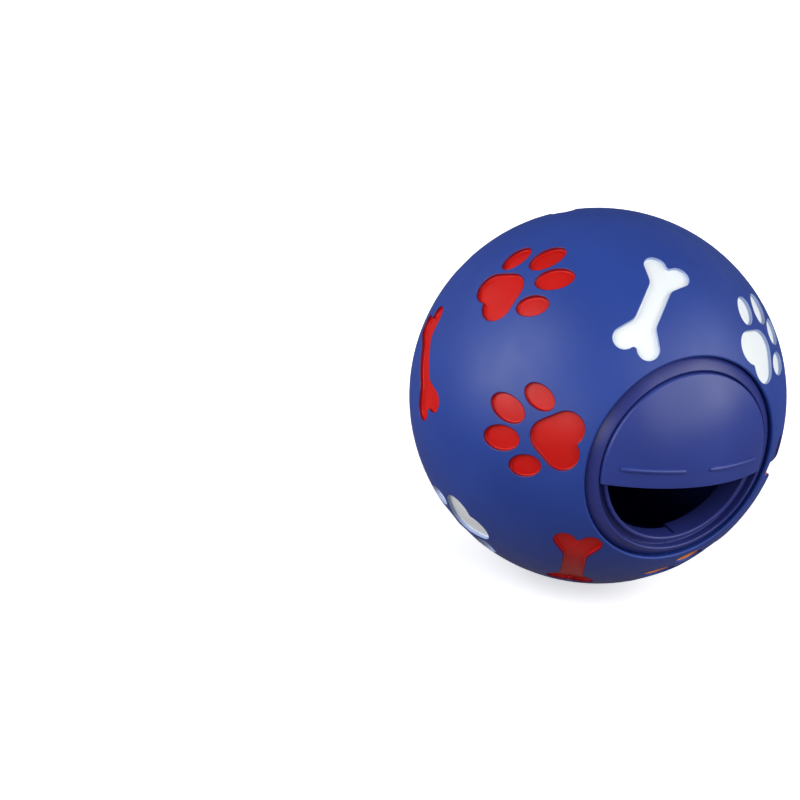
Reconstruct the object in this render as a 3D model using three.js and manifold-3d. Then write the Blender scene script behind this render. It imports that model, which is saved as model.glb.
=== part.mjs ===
import * as THREE from 'three';
import { mergeVertices } from 'three/addons/utils/BufferGeometryUtils.js';
import Module from 'manifold-3d';

const wasm = await Module();
wasm.setup();

// Sizes are in millimetres. The ball's centre is the origin, +Z is up and the treat opening faces -Y.
// A level is a distance from the ball's centre towards the opening.
// A clock angle turns about the opening's axis, from 0 at the top to 90 at +X.

// Ball
const ballRadius = 72.5;
const wallThickness = 3.5;
const motifDepth = 1.5;
const mouthLipRound = 0.7;
const mouthRingThickness = 2.8;

// Gaps between the pieces
const seatGap = 0.3;
const rimGap = 0.4;
const turnGap = 0.35;
const pivotGap = 0.15;

// Insert collar, from the opening outwards, and its heights from the ball's surface downwards
const neckInnerRadius = 31.1;
const neckThickness = 2.3;
const lipThickness = 1.6;
const lipRound = 0.7;
const skirtThickness = 1.7;
const flangeWidth = 4.5;
const flangeSink = 2.7;
const flangeEdgeThickness = 1.2;
const flangeRise = 3.9;
const flangeRound = 0.6;
const channelDepth = 3.3;
const lipDrop = 0.8;
const barbReach = 1.5;
const barbLand = 0.6;
const barbTaper = 1.6;
const barbLead = 0.75;

// Fingers of the neck, and the slots between them
const fingerStart = 172;
const fingerSpan = 90;
const fingerPairs = 2;
const slotWidth = 1.0;
const slotDrop = 1.9;
const shortFingerDrop = 7.4;

// Half-moon wall across the neck, with the hub that the dial turns on
const baffleDrop = 1.4;
const baffleThickness = 1.8;
const baffleRoot = 0.5;
const baffleChord = -4.5;
const hubRadius = 5.8;

// Shutter dial
const domeInset = 0.7;
const dialThickness = 2.0;
const dialRound = 0.8;
const dialCut = -6.3;
const cutWallThickness = 1.8;
const postRadius = 2.5;
const postBarbReach = 0.6;
const postBarbLength = 2.2;
const postSlotWidth = 1.0;
const postSlotLength = 8.0;

// Grip ribs on the dial
const ribStart = 5.1;
const ribEnd = 29.2;
const ribWidth = 1.2;
const ribHeight = 0.7;
const ribRise = 0.7;

// Paw motif: a pad between one tip circle and two lobe circles, and four oval toes
const padTip = { across: 0, along: -5.7, radius: 6.7 };
const padLobe = { across: 4.6, along: -11.3, radius: 6.4 };
const innerToe = { across: 5.7, along: 11.8, lean: 13, half: 7.2, halfWidth: 4.7 };
const outerToe = { across: 13.1, along: 1.0, lean: 20, half: 6.2, halfWidth: 4.1 };

// Bone motif: a shaft that forks into two round fingers at each end
const shaftHalfWidth = 4.1;
const forkAlong = 10.1;
const fingerAlong = 16.9;
const fingerAcross = 4.7;
const fingerRadius = 4.2;
const forkRound = 5.0;

// Places of the motifs: the way over the ball from the mouth's edge, the clock angle,
// and the turn of the motif's main line from the line that leads away from the mouth
const paws = [
  { beyond: 21.9, clock: -81.9, turn: -4.3 },
  { beyond: 20.5, clock: 42.5, turn: 12.6 },
  { beyond: 21.4, clock: 158.1, turn: 88.8 },
  { beyond: 61.3, clock: -42.9, turn: 112.8 },
  { beyond: 67.1, clock: -131, turn: -37 },
  { beyond: 112, clock: 55, turn: 178 },
  { beyond: 81.6, clock: 133, turn: -31 },
  { beyond: 156.3, clock: -1, turn: -6 },
  { beyond: 133.5, clock: 171, turn: -97 },
];
const bones = [
  { beyond: 21.7, clock: -149.2, turn: 135.9 },
  { beyond: 23, clock: -13.6, turn: 46.5 },
  { beyond: 24.6, clock: 105.9, turn: 27.6 },
  { beyond: 85.7, clock: -80.2, turn: 50.1 },
  { beyond: 107, clock: 2.4, turn: 77.5 },
  { beyond: 77.8, clock: 81, turn: 47 },
  { beyond: 77.8, clock: -173, turn: 27 },
  { beyond: 129.7, clock: -59, turn: 120 },
  { beyond: 137.3, clock: 102, turn: 10 },
  { beyond: 119.6, clock: -116, turn: -41 },
];

// Fineness of the round faces
const ballSteps = 48;
const ballArcStep = 7.5;
const hollowArcStep = 15;
const insertSteps = 60;
const insertArcStep = 6;
const cornerSteps = 3;
const postSteps = 24;
const toeSteps = 12;
const tipSteps = 5;
const padLobeSteps = 8;
const padTipSteps = 4;
const facetTolerance = 0.05;

const mergeReach = 1e-4;
const cutOverrun = 1.0;
const motifCutDepth = 18;

const radians = THREE.MathUtils.degToRad;
const degrees = THREE.MathUtils.radToDeg;

// Level of a sphere about the ball's centre, at a distance from the axis
function levelAt(sphereRadius, distance) {
  return Math.sqrt(sphereRadius ** 2 - distance ** 2);
}

// Radii worked out from the sizes above
const hollowRadius = ballRadius - wallThickness;
const motifFloorRadius = ballRadius - motifDepth;
const neckOuterRadius = neckInnerRadius + neckThickness;
const mouthRadius = neckOuterRadius + seatGap;
const lipOuterRadius = neckInnerRadius + lipThickness;
const skirtInnerRadius = lipOuterRadius + turnGap;
const dialRadius = skirtInnerRadius + skirtThickness;
const flangeInnerRadius = dialRadius + turnGap;
const flangeRadius = flangeInnerRadius + flangeWidth;
const pocketRadius = flangeRadius + rimGap;
const domeRadius = ballRadius - domeInset;
const domeInnerRadius = domeRadius - dialThickness;
const domeMiddleRadius = domeRadius - dialThickness / 2;
const hubHoleRadius = postRadius + pivotGap;
const mouthEdge = degrees(Math.asin(pocketRadius / ballRadius));

// Levels worked out from the sizes above
const flangeEdgeLevel = levelAt(ballRadius, flangeRadius) - flangeSink;
const flangeUnderLevel = flangeEdgeLevel - flangeEdgeThickness;
const flangeInnerLevel = flangeEdgeLevel + flangeRise;
const seatLevel = flangeUnderLevel - seatGap;
const ringBackLevel = seatLevel - mouthRingThickness;
const barbLevel = ringBackLevel - seatGap;
const neckEndLevel = barbLevel - barbLand - barbTaper;
const channelLevel = flangeInnerLevel - channelDepth;
const lipLevel = flangeInnerLevel - lipDrop;
const slotLevel = lipLevel - slotDrop;
const shortFingerLevel = lipLevel - shortFingerDrop;
const baffleLevel = lipLevel - baffleDrop;
const baffleBackLevel = baffleLevel - baffleThickness;
const skirtLevel = channelLevel + turnGap;
const postBarbLevel = baffleBackLevel - seatGap;
const postEndLevel = postBarbLevel - postBarbLength;

// Points of an arc in a plane, from one angle to another
function arc(x, y, radius, from, to, steps) {
  const points = [];
  for (let i = 0; i <= steps; i += 1) {
    const angle = from + ((to - from) * i) / steps;
    points.push(new THREE.Vector2(x + radius * Math.cos(angle), y + radius * Math.sin(angle)));
  }
  return points;
}

// Points of a circle about the ball's centre, as radius and level, between two angles from the axis
function sphereArc(radius, fromDegrees, toDegrees, stepDegrees) {
  const steps = Math.ceil(Math.abs(toDegrees - fromDegrees) / stepDegrees);
  const points = arc(0, 0, radius, radians(90 - fromDegrees), radians(90 - toDegrees), steps);
  points.filter((point) => Math.abs(point.x) < mergeReach).forEach((point) => point.setX(0));
  return points;
}

// Corner points, each with its rounding, turned into an outline
function roundCorners(corners, closed) {
  const count = corners.length;
  return corners.flatMap(([x, y, round = 0], i) => {
    const corner = new THREE.Vector2(x, y);
    if (round === 0 || (!closed && (i === 0 || i === count - 1))) return [corner];
    const before = new THREE.Vector2(...corners[(i + count - 1) % count]).sub(corner).normalize();
    const after = new THREE.Vector2(...corners[(i + 1) % count]).sub(corner).normalize();
    const half = Math.acos(before.dot(after)) / 2;
    const middle = before.clone().add(after).normalize();
    const centre = corner.clone().addScaledVector(middle, round / Math.sin(half));
    const first = corner.clone().addScaledVector(before, round / Math.tan(half)).sub(centre).angle();
    const last = corner.clone().addScaledVector(after, round / Math.tan(half)).sub(centre).angle();
    const sweep = THREE.MathUtils.euclideanModulo(last - first + Math.PI, 2 * Math.PI) - Math.PI;
    return arc(centre.x, centre.y, round, first, first + sweep, cornerSteps);
  });
}

// A closed solid from a closed surface
function solid(geometry) {
  geometry.deleteAttribute('normal');
  geometry.deleteAttribute('uv');
  const merged = mergeVertices(geometry, mergeReach);
  const corners = Array.from(merged.getIndex().array);
  const triangles = [];
  for (let i = 0; i < corners.length; i += 3) {
    const [a, b, c] = corners.slice(i, i + 3);
    if (a !== b && b !== c && c !== a) triangles.push([a, b, c]);
  }
  const place = merged.getAttribute('position');
  const point = (i) => new THREE.Vector3().fromBufferAttribute(place, i);
  const volume = triangles.reduce((sum, [a, b, c]) => sum + point(a).dot(point(b).cross(point(c))), 0);
  const outward = volume < 0 ? triangles.map(([a, b, c]) => [a, c, b]) : triangles;
  return new wasm.Manifold(new wasm.Mesh({
    numProp: 3,
    vertProperties: new Float32Array(place.array),
    triVerts: new Uint32Array(outward.flat()),
  }));
}

// A solid turned about the opening's axis, from an outline of radius and level
function turned(outline, steps) {
  const points = outline.map((point) => new THREE.Vector2(point.x, -point.y));
  return solid(new THREE.LatheGeometry(points, steps));
}

// A ball-shaped solid about the ball's centre
function sphere(radius, arcStep, steps) {
  return turned(sphereArc(radius, 0, 180, arcStep), steps);
}

// A flat outline of X and Z, carried along the opening's axis between two levels
function prism(outline, fromLevel, toLevel) {
  const settings = { depth: toLevel - fromLevel, bevelEnabled: false };
  const geometry = new THREE.ExtrudeGeometry(new THREE.Shape(outline), settings);
  geometry.translate(0, 0, fromLevel);
  geometry.rotateX(Math.PI / 2);
  return solid(geometry);
}

function rectangle(left, right, bottom, top) {
  const corners = [[left, bottom], [right, bottom], [right, top], [left, top]];
  return corners.map(([x, z]) => new THREE.Vector2(x, z));
}

function circle(radius, steps) {
  return arc(0, 0, radius, 0, 2 * Math.PI, steps).slice(0, -1);
}

// An oval with its long side leaning from the along line
function oval({ across, along, lean, half, halfWidth }, side) {
  const turn = radians(-lean * side);
  const centre = new THREE.Vector2(across * side, along);
  return circle(1, toeSteps).map((point) => {
    const onOval = new THREE.Vector2(point.x * halfWidth, point.y * half);
    return onOval.rotateAround(new THREE.Vector2(), turn).add(centre);
  });
}

// The pad of the paw: arcs of the tip and of the lobes, joined by the lines that touch both
function padOutline() {
  const gap = new THREE.Vector2(padLobe.across - padTip.across, padLobe.along - padTip.along);
  const lean = gap.angle() - 2 * Math.PI;
  const touch = lean + Math.acos((padTip.radius - padLobe.radius) / gap.length());
  const notch = -Math.PI + Math.acos(padLobe.across / padLobe.radius);
  const side = [
    ...arc(padLobe.across, padLobe.along, padLobe.radius, notch, touch, padLobeSteps),
    ...arc(padTip.across, padTip.along, padTip.radius, touch, Math.PI / 2, padTipSteps),
  ];
  const mirrored = side.slice(1, -1).reverse().map((point) => new THREE.Vector2(-point.x, point.y));
  return [...side, ...mirrored];
}

// The bone, drawn a quarter at a time
function boneOutline() {
  const lean = Math.atan2(fingerAcross, fingerAlong - forkAlong);
  const notchAlong = forkAlong + fingerRadius / Math.sin(lean);
  const reach = (shaftHalfWidth - fingerRadius * Math.cos(lean)) / Math.sin(lean);
  const forkCorner = forkAlong + reach * Math.cos(lean) - fingerRadius * Math.sin(lean);
  const quarterTurn = Math.PI / 2;
  const tip = arc(fingerAlong, fingerAcross, fingerRadius, lean - quarterTurn, lean + quarterTurn, tipSteps);
  const fork = roundCorners([
    [tip[tipSteps].x, tip[tipSteps].y],
    [forkCorner, shaftHalfWidth, forkRound],
    [0, shaftHalfWidth],
  ], false).slice(1, -1);
  const quarter = [new THREE.Vector2(notchAlong, 0), ...tip, ...fork];
  const half = [...quarter, ...quarter.slice(1).reverse().map((p) => new THREE.Vector2(-p.x, p.y))];
  const back = new THREE.Vector2(-notchAlong, 0);
  return [...half, back, ...half.slice(1).reverse().map((p) => new THREE.Vector2(p.x, -p.y))];
}

// Place a flat outline on the ball as a prism through the wall, its along line turned from the outward line
function motifPrism(outline, { beyond, clock, turn }, alongX) {
  const shape = new THREE.Shape(outline);
  const geometry = new THREE.ExtrudeGeometry(shape, { depth: motifCutDepth, bevelEnabled: false });
  const tilt = radians(mouthEdge) + beyond / ballRadius;
  const round = radians(clock);
  const normal = new THREE.Vector3(
    Math.sin(tilt) * Math.sin(round), -Math.cos(tilt), Math.sin(tilt) * Math.cos(round));
  const outward = new THREE.Vector3(
    Math.cos(tilt) * Math.sin(round), Math.sin(tilt), Math.cos(tilt) * Math.cos(round));
  const main = outward.applyAxisAngle(normal, -radians(turn));
  const across = main.clone().cross(normal);
  const basis = new THREE.Matrix4();
  if (alongX) basis.makeBasis(main, across.clone().negate(), normal);
  else basis.makeBasis(across, main, normal);
  basis.setPosition(normal.clone().multiplyScalar(ballRadius - motifCutDepth + cutOverrun));
  return solid(geometry.applyMatrix4(basis));
}

// All the motifs, cut down to the depth of the recesses
function motifCutter() {
  const toeOutlines = [innerToe, outerToe].flatMap((toe) => [oval(toe, 1), oval(toe, -1)]);
  const pawOutlines = [padOutline(), ...toeOutlines];
  const pawPrisms = paws.flatMap((place) => (
    pawOutlines.map((outline) => motifPrism(outline, place, false))
  ));
  const bonePrisms = bones.map((place) => motifPrism(boneOutline(), place, true));
  const prisms = [...pawPrisms, ...bonePrisms].reduce((sum, next) => sum.add(next));
  return prisms.subtract(sphere(motifFloorRadius, ballArcStep, ballSteps));
}

// Hollow ball with a stepped round mouth and recessed paws and bones
function makeBallShell() {
  const lipCentre = pocketRadius + mouthLipRound;
  const lipCentreLevel = levelAt(ballRadius - mouthLipRound, lipCentre);
  const lipAngle = Math.atan2(lipCentreLevel, lipCentre);
  const ringBackRadius = levelAt(hollowRadius, ringBackLevel);
  const mouthAngle = degrees(Math.atan2(ringBackRadius, ringBackLevel));
  const outline = [
    ...sphereArc(ballRadius, 180, 90 - degrees(lipAngle), ballArcStep).slice(0, -1),
    ...arc(lipCentre, lipCentreLevel, mouthLipRound, lipAngle, Math.PI, cornerSteps),
    new THREE.Vector2(pocketRadius, seatLevel),
    new THREE.Vector2(mouthRadius, seatLevel),
    new THREE.Vector2(mouthRadius, ringBackLevel),
    ...sphereArc(hollowRadius, mouthAngle, 180, hollowArcStep),
  ];
  const shell = turned(outline, ballSteps).subtract(motifCutter());
  return shell.asOriginal().simplify(facetTolerance);
}

// Ring of the insert: sloping flange, channel for the dial, lip, and a neck that snaps behind the mouth
function collarRing() {
  const outline = roundCorners([
    [neckOuterRadius, flangeUnderLevel],
    [flangeRadius, flangeUnderLevel],
    [flangeRadius, flangeEdgeLevel, flangeRound],
    [flangeInnerRadius, flangeInnerLevel, flangeRound],
    [flangeInnerRadius, channelLevel],
    [lipOuterRadius, channelLevel],
    [lipOuterRadius, lipLevel, lipRound],
    [neckInnerRadius, lipLevel, lipRound],
    [neckInnerRadius, neckEndLevel],
    [neckOuterRadius - barbLead, neckEndLevel],
    [neckOuterRadius + barbReach, barbLevel - barbLand],
    [neckOuterRadius + barbReach, barbLevel],
    [neckOuterRadius, barbLevel],
  ], true);
  return turned([...outline, outline[0]], insertSteps);
}

// A cut in the neck between two clock angles, from below its end up to a level, with the barb on it
function neckCut(fromClock, toClock, toLevel) {
  const from = radians(90 - toClock);
  const to = radians(90 - fromClock);
  const steps = Math.ceil((toClock - fromClock) / insertArcStep);
  const wedge = (outside, level) => {
    const outline = [
      ...arc(0, 0, outside, from, to, steps),
      ...arc(0, 0, neckInnerRadius - neckThickness, to, from, steps),
    ];
    return prism(outline, neckEndLevel - neckThickness, level);
  };
  const pastBarb = neckOuterRadius + barbReach + cutOverrun;
  return wedge(neckOuterRadius, toLevel).add(wedge(pastBarb, Math.min(toLevel, flangeUnderLevel)));
}

// Collar with long and short neck fingers, the half-moon wall and its hub
function makeInsertCollar() {
  const period = 360 / fingerPairs;
  const behind = baffleBackLevel - cutOverrun;
  const inFront = baffleLevel + cutOverrun;
  const belowChord = rectangle(-flangeRadius, flangeRadius, -flangeRadius, baffleChord);
  const baffle = prism(circle(neckInnerRadius + baffleRoot, insertSteps), baffleBackLevel, baffleLevel)
    .subtract(prism(belowChord, behind, inFront))
    .add(prism(circle(hubRadius, postSteps), baffleBackLevel, baffleLevel))
    .subtract(prism(circle(hubHoleRadius, postSteps), behind, inFront));
  let collar = collarRing();
  for (let i = 0; i < fingerPairs; i += 1) {
    const start = fingerStart + i * period;
    const halfSlot = degrees(slotWidth / 2 / neckInnerRadius);
    collar = collar.subtract(neckCut(start, start + fingerSpan, shortFingerLevel));
    for (const edge of [start, start + fingerSpan]) {
      collar = collar.subtract(neckCut(edge - halfSlot, edge + halfSlot, slotLevel));
    }
  }
  return collar.add(baffle);
}

// Half dome with a skirt that runs in the channel, grip ribs, a wall along its cut and a split post
function makeShutterDial() {
  const rimLevel = levelAt(domeRadius, dialRadius);
  const aboveRim = rimLevel + 2 * dialRound;
  const cap = roundCorners([
    [levelAt(domeRadius, aboveRim), aboveRim],
    [dialRadius, rimLevel, dialRound],
    [dialRadius, skirtLevel],
  ], false).slice(1);
  const domeAngle = (radius, distance) => degrees(Math.asin(distance / radius));
  const outline = [
    ...sphereArc(domeRadius, 0, domeAngle(domeRadius, dialRadius - dialRound), insertArcStep).slice(0, -1),
    ...cap,
    new THREE.Vector2(skirtInnerRadius, skirtLevel),
    ...sphereArc(domeInnerRadius, domeAngle(domeInnerRadius, skirtInnerRadius), 0, insertArcStep),
  ];
  const belowCut = rectangle(-flangeRadius, flangeRadius, -flangeRadius, dialCut);
  const dome = turned(outline, insertSteps).subtract(prism(belowCut, 0, ballRadius));

  const insideDome = sphere(domeMiddleRadius, insertArcStep, insertSteps);
  const alongCut = rectangle(-flangeRadius, flangeRadius, dialCut, dialCut + cutWallThickness);
  const cutWall = prism(circle(neckInnerRadius - turnGap, insertSteps), baffleLevel + turnGap, ballRadius)
    .intersect(prism(alongCut, 0, ballRadius))
    .intersect(insideDome);

  const ribOutline = rectangle(ribStart, ribEnd, ribRise - ribWidth / 2, ribRise + ribWidth / 2);
  const ribTop = sphere(domeRadius + ribHeight, insertArcStep, insertSteps);
  const rib = prism(ribOutline, 0, ballRadius).intersect(ribTop).subtract(insideDome);
  const ribs = rib.add(rib.mirror([1, 0, 0]));

  const post = turned([
    new THREE.Vector2(0, domeMiddleRadius),
    new THREE.Vector2(postRadius, domeMiddleRadius),
    new THREE.Vector2(postRadius, postBarbLevel),
    new THREE.Vector2(postRadius + postBarbReach, postBarbLevel),
    new THREE.Vector2(postRadius - postBarbReach, postEndLevel),
    new THREE.Vector2(0, postEndLevel),
  ], postSteps);
  const slotOutline = rectangle(-postSlotWidth / 2, postSlotWidth / 2, -hubRadius, hubRadius);
  const postSlot = prism(slotOutline, postEndLevel - cutOverrun, postEndLevel + postSlotLength);
  return dome.add(cutWall).add(ribs).add(post.subtract(postSlot));
}

// A named mesh of a solid, with its own material
function piece(name, manifold, colour, roughness) {
  const { vertProperties, triVerts } = manifold.getMesh();
  const geometry = new THREE.BufferGeometry();
  geometry.setAttribute('position', new THREE.BufferAttribute(new Float32Array(vertProperties), 3));
  geometry.setIndex(new THREE.BufferAttribute(new Uint32Array(triVerts), 1));
  geometry.computeVertexNormals();
  const material = new THREE.MeshStandardMaterial({ color: colour, roughness, metalness: 0 });
  const mesh = new THREE.Mesh(geometry, material);
  mesh.name = name;
  return mesh;
}

const ball = new THREE.Group();
ball.name = 'dog_toy_ball';
ball.add(piece('ball_shell', makeBallShell(), 0x4257b0, 0.5));
ball.add(piece('insert_collar', makeInsertCollar(), 0x4a47a0, 0.35));
ball.add(piece('shutter_dial', makeShutterDial(), 0x5351a8, 0.35));

export default ball;
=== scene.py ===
import math

import bmesh
import bpy
import numpy as np
from mathutils import Matrix, Vector
from mathutils.geometry import delaunay_2d_cdt


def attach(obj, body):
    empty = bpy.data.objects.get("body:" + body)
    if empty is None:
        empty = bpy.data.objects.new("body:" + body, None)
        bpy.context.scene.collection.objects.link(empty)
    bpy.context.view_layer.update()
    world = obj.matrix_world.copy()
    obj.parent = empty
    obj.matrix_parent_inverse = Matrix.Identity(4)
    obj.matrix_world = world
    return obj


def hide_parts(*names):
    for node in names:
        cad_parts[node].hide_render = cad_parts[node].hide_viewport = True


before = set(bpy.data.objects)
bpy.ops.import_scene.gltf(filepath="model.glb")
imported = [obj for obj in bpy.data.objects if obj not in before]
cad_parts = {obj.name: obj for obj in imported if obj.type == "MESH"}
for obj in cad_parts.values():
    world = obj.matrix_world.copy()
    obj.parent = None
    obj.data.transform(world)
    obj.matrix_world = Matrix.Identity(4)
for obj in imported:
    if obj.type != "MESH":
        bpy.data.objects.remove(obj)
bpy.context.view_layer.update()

# Sizes are in millimetres, as in the solids, and meshes are written in metres.
# A level is a distance from the ball's centre towards the opening, which faces -Y.
# A clock angle turns about the opening's axis, from 0 at the top to 90 at +X.
MM = 0.001

# Ball
ball_radius = 72.5
wall_thickness = 3.5
recess_depth = 1.5
recess_lip_round = 0.5
recess_floor_round = 0.5
mouth_lip_round = 0.7
mouth_ring_thickness = 2.8
moulded_round = 0.3

# Gaps between the pieces
seat_gap = 0.3
rim_gap = 0.4
turn_gap = 0.35
pivot_gap = 0.15

# Insert collar
neck_inner_radius = 31.1
neck_thickness = 2.3
lip_thickness = 1.6
lip_round = 0.7
skirt_thickness = 1.7
flange_width = 4.5
flange_sink = 2.7
flange_edge_thickness = 1.2
flange_rise = 4.6
flange_round = 0.6
channel_depth = 4.0
lip_drop = 1.5
barb_reach = 1.5
barb_land = 0.6
barb_taper = 1.6
finger_start = 172
finger_span = 90
finger_pairs = 2
slot_width = 1.0
slot_drop = 1.9
short_finger_drop = 7.4
baffle_drop = 1.4
baffle_thickness = 1.8
baffle_root = 0.5
baffle_chord = -4.5
hub_radius = 5.8
stop_mark_clock = 177
stop_mark_width = 0.5
stop_mark_height = 0.22

# Shutter dial
dome_inset = 0.7
dial_thickness = 2.0
dial_round = 0.8
dial_cut = -6.3
cut_round = 0.45
cut_slant = 12
cut_wall_thickness = 1.8
post_radius = 2.5
post_barb_reach = 0.6
post_barb_length = 2.2
post_slot_width = 1.0
post_slot_length = 8.0
rib_start = 5.1
rib_end = 29.2
rib_width = 1.8
rib_height = 0.95
rib_rise = 0.7
rib_end_size = 0.55
gate_radius = 0.9
gate_height = 0.12

# Paw motif: a pad between one tip circle and two lobe circles, and four oval toes
pad_tip_along, pad_tip_radius = -5.7, 6.7
pad_lobe_across, pad_lobe_along, pad_lobe_radius = 4.6, -11.3, 6.4
pad_notch_round = 1.2
inner_toe = dict(across=5.7, along=11.8, lean=13, half=7.2, half_width=4.7)
outer_toe = dict(across=13.1, along=1.0, lean=20, half=6.2, half_width=4.1)

# Bone motif: a shaft that forks into two round fingers at each end
shaft_half_width = 4.1
fork_along = 10.1
finger_along = 16.9
finger_across = 4.7
finger_radius = 4.2
fork_round = 5.0
bone_notch_round = 1.2

# Places of the motifs: the way over the ball from the mouth's edge, the clock angle,
# the turn of the main line from the line that leads away from the mouth, and the paint
paws = [
    (21.9, -81.9, -4.3, "red"),
    (20.5, 42.5, 12.6, "white"),
    (21.4, 158.1, 88.8, "orange"),
    (61.3, -42.9, 112.8, "red"),
    (67.1, -131.0, -37.0, "white"),
    (112.0, 55.0, 178.0, "white"),
    (81.6, 133.0, -31.0, "red"),
    (156.3, -1.0, -6.0, "red"),
    (133.5, 171.0, -97.0, "orange"),
]
bones = [
    (21.7, -149.2, 135.9, "red"),
    (23.0, -13.6, 46.5, "white"),
    (24.6, 105.9, 27.6, "orange"),
    (85.7, -80.2, 50.1, "red"),
    (107.0, 2.4, 77.5, "orange"),
    (77.8, 81.0, 47.0, "red"),
    (77.8, -173.0, 27.0, "white"),
    (129.7, -59.0, 120.0, "white"),
    (137.3, 102.0, 10.0, "white"),
    (119.6, -116.0, -41.0, "orange"),
]

# Fineness of the meshes: a pitch is a length, a step an angle in degrees, and steps are a count
outline_pitch = 0.75
straight_pitch = 2 * outline_pitch
skin_pitch = 3.0
floor_pitch = 2.0
least_arc_steps = 3
least_spin_steps = 2
round_steps = 4
corner_steps = 4
mouth_steps = 192
hollow_step = 7.5
insert_steps = 144
neck_cut_step = 2.5
dome_step = 2.5
cut_steps = 5
cut_edge_steps = 72
post_steps = 48
rib_steps = 24
rib_round_steps = 8
sharp_angle = 32

# How far a cutter reaches past what it cuts
hole_clear = 1
cut_clear = 2

# Limits below which two measures count as the same: the last two distances are in metres
tiny = 1e-6
empty_area = 1e-6
same_angle = 1e-4
join_distance = 1e-9
weld_distance = 1e-7
sphere_distance = 2e-5

# Axes that outlines are spun about, and the clock angle at which the opening's outlines are drawn
opening_axis = (0, 1, 0)
upright_axis = (0, 0, 1)
drawn_clock = 90

# Paint film in the recesses
film_over = 0.04
film_under = 0.08
film_first_ring = {"red": 1, "white": 2, "orange": 5}

# Finishes: a noise has a scale and a detail, nearly all its values lie between noise_low and noise_high,
# and the depth of the grain is in metres
noise_low, noise_high = 0.3, 0.7
plastic_cloud = (28, 4)
plastic_sheen = (160, 5)
plastic_gloss = 0.4
paint_cloud = (90, 4)
paint_sheen = (240, 4)
paint_rough = (0.30, 0.42)
paint_gloss = 0.28
paint_grain_scale = 1400
paint_grain = 0.12
# Share of the thin colour towards the lip: for white it is the blue vinyl showing through, for red and orange
# it is also painted shade on the recess walls
thin_and_shade_share = 0.9
grain_detail = 3
grain_depth = 0.0002
stage_cloud = (3, 2)
stage_rough = 0.7

# Colours of each finish, how rough it is at least and at most, its grain, the colour of its paint where it
# thins on the recess walls (darkened there as painted shade for red and orange), and where its paint thins
# out
vinyl_look = dict(
    deep=(0.016, 0.047, 0.274), pale=(0.021, 0.057, 0.314), rough=(0.40, 0.48), grain_scale=1500, grain=0.05)
collar_look = dict(
    deep=(0.024, 0.033, 0.19), pale=(0.029, 0.040, 0.22), rough=(0.29, 0.34), grain_scale=2200, grain=0.012)
dial_look = dict(
    deep=(0.028, 0.048, 0.25), pale=(0.034, 0.058, 0.29), rough=(0.30, 0.36), grain_scale=2200, grain=0.012)
# The thin colours of red and orange are darker than their paint over blue vinyl would be: partly thin paint,
# partly painted shade on the recess walls
red_look = dict(
    deep=(0.52, 0.006, 0.004), pale=(0.60, 0.009, 0.006), thin_paint_and_shade=(0.075, 0.008, 0.05), fade=(0.35, 0.7))
white_look = dict(
    deep=(0.86, 0.91, 0.93), pale=(0.90, 0.94, 0.96), thin_paint_and_shade=(0.27, 0.36, 0.62), fade=(0.02, 0.3))
orange_look = dict(
    deep=(0.78, 0.21, 0.012), pale=(0.86, 0.26, 0.02), thin_paint_and_shade=(0.25, 0.06, 0.05), fade=(0.3, 0.8))
stage_deep, stage_pale = (0.88, 0.88, 0.88), (0.9, 0.9, 0.9)

# Camera of the photograph: angles in degrees, the distance in ball radii, and the ball in the frame
camera_azimuth = -34.5
camera_elevation = 20.7
camera_roll = 10.0
camera_distance = 12.0
frame_pixels = 800
ball_pixel_x, ball_pixel_y, ball_pixel_radius = 596.6, 395.6, 187.4
sensor_width = 36.0

# Stage in metres: a floor in a dome, whose own glow grows from the middle until it is all white
stage_reach = 4
dome_segments, dome_rings = 64, 32
floor_glow = 0.5
floor_white_from = 0.8

# Light from the room, from above, from the sides and back from the ground
top_light = (0.2, 0.2, 0.2)
side_light = (0.07, 0.07, 0.07)
ground_light = (0.26, 0.22, 0.22)

# Soft boxes, at one distance in metres: azimuth and elevation in degrees, width and height in metres,
# power, and whether the gloss of the pieces mirrors the box
light_distance = 1.3
soft_boxes = {
    "left_box": (-88, 25, 0.9, 1.2, 12, True),
    "right_box": (25, 28, 1.4, 1.2, 13, True),
    "side_box": (56, 26, 0.8, 0.9, 4, True),
    "low_left_box": (-105, 10, 0.7, 0.5, 2.5, True),
    "low_front_box": (-50, 8, 0.6, 0.4, 2.2, True),
    "back_left_box": (-150, 14, 0.9, 0.6, 5, False),
    "back_right_box": (118, 14, 0.9, 0.6, 5, False),
}


def level_at(radius, distance):
    """Level at which a ball of a radius lies at a distance from its axis."""
    return math.sqrt(radius ** 2 - distance ** 2)


# Radii worked out from the sizes above
hollow_radius = ball_radius - wall_thickness
neck_outer_radius = neck_inner_radius + neck_thickness
mouth_radius = neck_outer_radius + seat_gap
lip_outer_radius = neck_inner_radius + lip_thickness
skirt_inner_radius = lip_outer_radius + turn_gap
dial_radius = skirt_inner_radius + skirt_thickness
flange_inner_radius = dial_radius + turn_gap
flange_radius = flange_inner_radius + flange_width
pocket_radius = flange_radius + rim_gap
dome_radius = ball_radius - dome_inset
dome_inner_radius = dome_radius - dial_thickness
dome_middle_radius = dome_radius - dial_thickness / 2
hub_hole_radius = post_radius + pivot_gap
mouth_edge = math.asin(pocket_radius / ball_radius)

# Levels worked out from the sizes above
flange_edge_level = level_at(ball_radius, flange_radius) - flange_sink
flange_under_level = flange_edge_level - flange_edge_thickness
flange_inner_level = flange_edge_level + flange_rise
seat_level = flange_under_level - seat_gap
ring_back_level = seat_level - mouth_ring_thickness
barb_level = ring_back_level - seat_gap
neck_end_level = barb_level - barb_land - barb_taper
channel_level = flange_inner_level - channel_depth
lip_level = flange_inner_level - lip_drop
slot_level = lip_level - slot_drop
short_finger_level = lip_level - short_finger_drop
baffle_level = lip_level - baffle_drop
baffle_back_level = baffle_level - baffle_thickness
skirt_level = channel_level + turn_gap
post_barb_level = baffle_back_level - seat_gap
post_end_level = post_barb_level - post_barb_length


# Outlines of the motifs

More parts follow.
